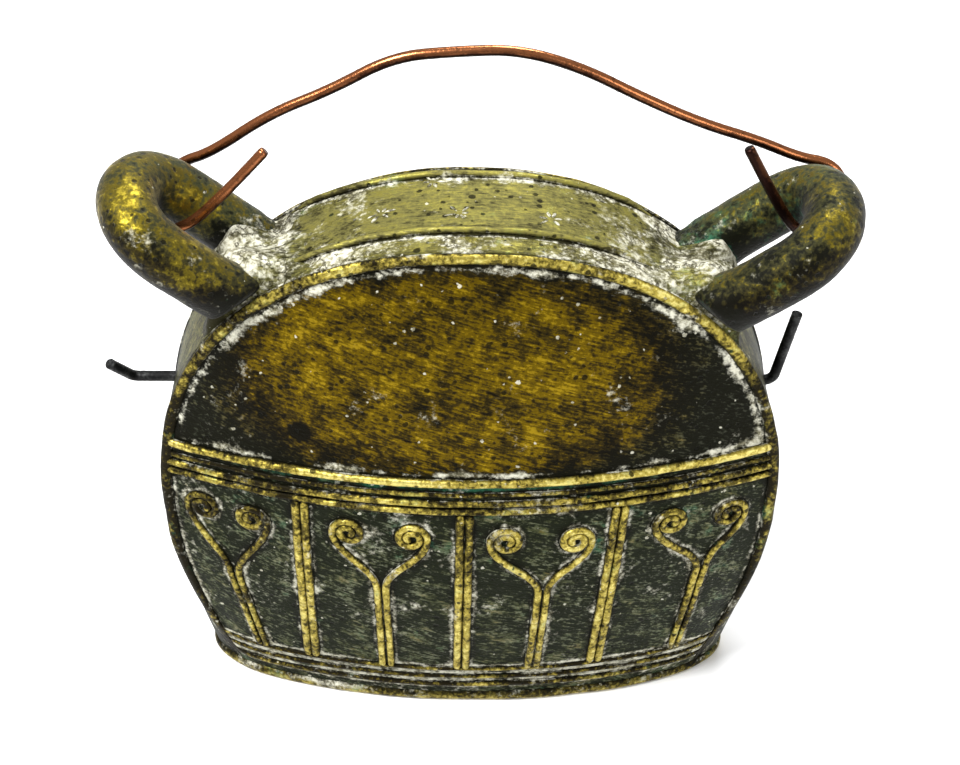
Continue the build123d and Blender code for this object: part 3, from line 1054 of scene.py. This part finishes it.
def make_rings():
    """The rings of round bar, each with two limbs that run down into the band."""
    for name, ring in rings.items():
        route = [
            (-ring_foot_depth, -ring_foot_y),
            (ring_shoulder, ring.front),
            (ring.reach, ring.front),
            (ring.reach, ring.back),
            (ring_shoulder, ring.back),
            (-ring_foot_depth, ring_foot_y),
        ]
        radii = [ring_knee_radius, ring_crown_radius, ring_crown_radius, ring_knee_radius]
        flat = softened(rounded(route, radii, ring_step), 25)
        origin, out, across = ring_axes(name)
        line = origin + flat[:, :1] * out + flat[:, 1:] * across
        from_foot = from_ends(len(line), ring_step)
        flare = 1 + 0.1 * (1 - smooth_step(from_foot, 6, 20))
        hoops = hoops_along(line, ring_radius * flare, 60)
        ahead = unit(hoops - line[:, None])
        lumps = 0.35 * rough(hoops, 16, 121) + 0.09 * rough(hoops, 3.5, 131)
        hoops = kept_on_strap(hoops + ahead * lumps[..., None])
        # Painted shade under each ring and in the corner at its feet, and darker towards the feet;
        # painted highlight and painted sheen on its upper side
        under = smooth_step(-ahead[..., 2], -0.1, 0.8)
        upper = smooth_step(ahead[..., 2], 0.2, 1.0)
        foot = 1 - smooth_step(from_foot, 8, 24)[:, None]
        corner = (1 - smooth_step(from_foot, 15, 26))[:, None] * smooth_step(-ahead[..., 2], -0.8, -0.1)
        behind = smooth_step(line[:, 1], -2, 6)[:, None]
        crease = 6 - 7.5 * corner
        wear_and_light = 0.24 - 0.08 * ring.side + 0.25 * upper - 0.9 * under - 0.25 * foot - 0.4 * corner
        chalk = foot * (0.3 + 0.3 * behind) * (1 - under) * (1 - corner) - 0.12
        green = 0.15 * behind + 0.1 * foot - 0.05 if name == "right" else -0.2
        grey = 0.35 * behind + 0.45 * upper
        fields = dict(crease=crease, wear_and_light=wear_and_light, snow=0.1, chalk=chalk, green=green, grey=grey)
        skin = Skin()
        skin.add_tube(hoops, fields)
        skin.piece(f"{name}_ring_casting", ring_brass, "ring_brass", f"{name}_ring")


def make_bosses():
    """The rough, lime-crusted metal that joins each ring's feet to the shoulder."""
    for name, ring in rings.items():
        centre = ring_station(name)
        run = np.arange(-boss_reach, boss_reach + 1, boss_step)[:, None]
        stations = centre + run / outline_step
        share = np.linspace(-1, 1, boss_columns)
        y = share * (strap_half(stations) - 0.4)
        base = on_strap(stations, y, 0.0)
        inward = -ring.side * run
        origin, out, across = ring_axes(name)
        to_foot = np.full(y.shape, 99.0)
        for foot_y in (-ring_foot_y, ring_foot_y):
            spot = origin + foot_y * across
            gap = base - spot
            gap = gap - (gap @ out)[..., None] * out
            to_foot = np.minimum(to_foot, np.linalg.norm(gap, axis=-1) - ring_radius)
        bare_back = smooth_step(inward, 2, 10) * smooth_step(y, -2, 8)
        climb = boss_climb * np.exp(-np.clip(to_foot, 0, 99) / 4.0) * (1 - bare_back)
        mound = np.exp(-((inward - 1) / 8) ** 2) * (1 - np.abs(share) ** 4) * (1 - 0.8 * bare_back)
        spill = np.exp(-((inward - 12) / 10) ** 2)
        lumps = 0.9 * rough(base, 8, 141) + 0.45 * rough(base, 2.4, 151, 2)
        body = climb + boss_mound * mound + boss_spill * spill
        edge = np.minimum(1 - np.abs(share), 0.12) / 0.12
        ends = np.clip((36 - np.abs(run)) / 14, 0, 1)
        height = (body + lumps * np.clip(body / 1.5, 0.2, 1)) * edge**0.5 * ends - 0.6
        height = np.maximum(height + 0.7 * rough(base, 9, 171) * ends * edge, -1.2)
        outer = on_strap(stations, y, height)
        inner = on_strap(stations, y, -boss_root)
        keep = np.ones((y.shape[0] - 1, y.shape[1] - 1), bool)
        # Painted shade: the metal below each ring is darker, and it carries less lime
        below = smooth_step(-inward, 4, 14)
        chalk = crust_at(inward) - 0.04 - 0.4 * below
        fields = dict(crease=3.0, wear_and_light=0.2 - 0.5 * below, chalk=chalk, grey=0.4)
        skin = Skin()
        skin.add_shell(outer, inner, keep, fields, dict(crease=3.0, grey=1.0))
        skin.piece(f"{name}_ring_joint", strap_brass, "joint_brass", f"{name}_ring_boss")


def make_marks():
    """Small flowers punched into the top of the band, with lime standing in their petals."""
    skin = Skin()
    draw = np.random.default_rng(5)
    part = np.linspace(0, 1, 9)
    swell = np.sin(math.pi * part) ** 0.6
    around = circle(8)
    section = 0.16 * np.sin(around).clip(0) + 0.3 * np.sin(around).clip(-1, 0)
    for mark_x, mark_y in mark_places:
        centre = int(np.argmin(np.abs(outline[:, 0] - mark_x) - outline[:, 1]))
        for petal in range(mark_petals):
            angle = 2 * math.pi * (petal + draw.uniform(-0.3, 0.3)) / mark_petals
            reach = mark_reach * draw.uniform(0.6, 1.15)
            along = (0.25 + 0.75 * part)[:, None] * reach
            width = 0.5 * swell[:, None] * np.cos(around) * draw.uniform(0.6, 1.1)
            run = along * math.cos(angle) - width * math.sin(angle)
            y = mark_y + along * math.sin(angle) + width * math.cos(angle)
            lift = 0.05 + section * swell[:, None]
            skin.add_tube(on_strap(centre + run / outline_step, y, lift), dict(crease=3.0, chalk=1.1))
    skin.piece("shoulder_punch_marks", strap_brass, "joint_brass")


# The copper bail

def smooth_route(points):
    """Quadratic B-spline that starts and ends on the first and last points of a route."""
    points = np.array(points, float)
    middles = (points[:-1] + points[1:]) / 2
    starts = np.concatenate([points[:1], middles[1:-1]])
    ends = np.concatenate([middles[1:-1], points[-1:]])
    t = np.linspace(0, 1, 10)[:, None]
    spans = []
    for a, b, c in zip(starts, points[1:-1], ends):
        spans.append(a * (1 - t) ** 2 + 2 * b * t * (1 - t) + c * t**2)
    return resampled(np.concatenate(spans), bail_step)


def make_bail():
    """The wire handle: a hook through each ring and an uneven arch between them."""
    route = []
    for name, hook in {"left": left_hook, "right": right_hook}.items():
        origin, out, across = ring_axes(name)
        upward = rings[name].side * np.cross(out, across)
        route += [origin + a * out + b * across + c * upward for a, b, c in hook]
        if name == "left":
            route += [np.array(place) for place in arch]
    line = smooth_route(route)
    count = len(line)
    radius = bail_radius * (0.86 + 0.14 * smooth_step(from_ends(count, bail_step), -0.3, 0.8))
    hoops = hoops_along(line, radius * (1 + 0.02 * rough(line, 9, 181)), 20)
    # The left hook is more worn and the right hook darker; a painted highlight runs along the top of
    # the wire, with painted shade under it
    upper = unit(hoops - line[:, None])[..., 2]
    share = np.arange(count)[:, None] / count
    wear_and_light = 0.2 + 0.3 * (1 - smooth_step(share, 0.08, 0.2)) - 0.25 * smooth_step(share, 0.8, 0.86)
    skin = Skin()
    skin.add_tube(hoops, {"wear_and_light": wear_and_light + 0.8 * upper})
    skin.piece("bail_wire", bail_copper, "copper_wire", "bail", body="bail")


# Clapper and iron wire keep their CAD shapes

def dress(node, material):
    """Gives a CAD node that stays visible its finish."""
    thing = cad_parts[node]
    thing.data.materials.clear()
    thing.data.materials.append(material)
    thing.data.shade_smooth()


# Stage, in metres: each light has its place, its size and its power

floor_reach = 4.0
world_strength = 0.45
light_target = (0, 0, 0.08)
lights = {
    "key": ((-0.45, -0.3, 0.9), 0.4, 14.0),
    "fill": ((0.7, -0.6, 0.5), 0.5, 3.5),
    "top": ((0.15, 0.5, 1.0), 0.45, 9.0),
}


def make_floor():
    """A plain pale floor that runs out of view on every side."""
    points = [(x * floor_reach, y * floor_reach, 0) for x, y in ((-1, -1), (1, -1), (1, 1), (-1, 1))]
    mesh = bpy.data.meshes.new("floor")
    mesh.from_pydata(points, [], [(0, 1, 2, 3)])
    material = bpy.data.materials.new("floor_white")
    material.use_nodes = True
    shader = material.node_tree.nodes["Principled BSDF"]
    shader.inputs["Base Color"].default_value = (0.93, 0.93, 0.93, 1)
    shader.inputs["Roughness"].default_value = 0.85
    shader.inputs["Specular IOR Level"].default_value = 0.1
    mesh.materials.append(material)
    put("floor", mesh)


def make_light(name, place, size, power):
    data = bpy.data.lights.new(name, "AREA")
    data.shape = "DISK"
    data.size = size
    data.energy = power
    light = put(name, data)
    light.location = place
    aim = Vector(light_target) - light.location
    light.rotation_mode = "QUATERNION"
    light.rotation_quaternion = aim.to_track_quat("-Z", "Y")


def make_world():
    world = bpy.data.worlds.new("studio")
    world.use_nodes = True
    background = world.node_tree.nodes["Background"]
    background.inputs["Color"].default_value = (1, 1, 1, 1)
    background.inputs["Strength"].default_value = world_strength
    bpy.context.scene.world = world


def make_camera():
    data = bpy.data.cameras.new("camera")
    data.sensor_width = 36
    data.lens = camera_lens
    data.clip_start = 0.02
    data.clip_end = 20
    yaw = Matrix.Rotation(math.radians(camera_yaw), 3, "Z")
    tilt = Matrix.Rotation(math.radians(90 - camera_elevation), 3, "X")
    roll = Matrix.Rotation(math.radians(camera_roll), 3, "Z")
    axes = yaw @ tilt @ roll
    place = (Vector(camera_target) + axes.col[2] * camera_distance) * MM
    camera = put("camera", data)
    camera.matrix_world = Matrix.Translation(place) @ axes.to_4x4()
    bpy.context.scene.camera = camera


make_camera()
thread_lines = face_lines()
make_faces(thread_lines)
make_threads(thread_lines)
make_edge_threads()
make_strap()
make_ribs()
make_rim()
make_rings()
make_bosses()
dress("clapper_wire", wire_iron)
dress("clapper", clapper_iron)
make_bail()
make_marks()
make_floor()
make_world()
for light_name, light_facts in lights.items():
    make_light(light_name, *light_facts)
bpy.context.scene.view_settings.view_transform = "Standard"
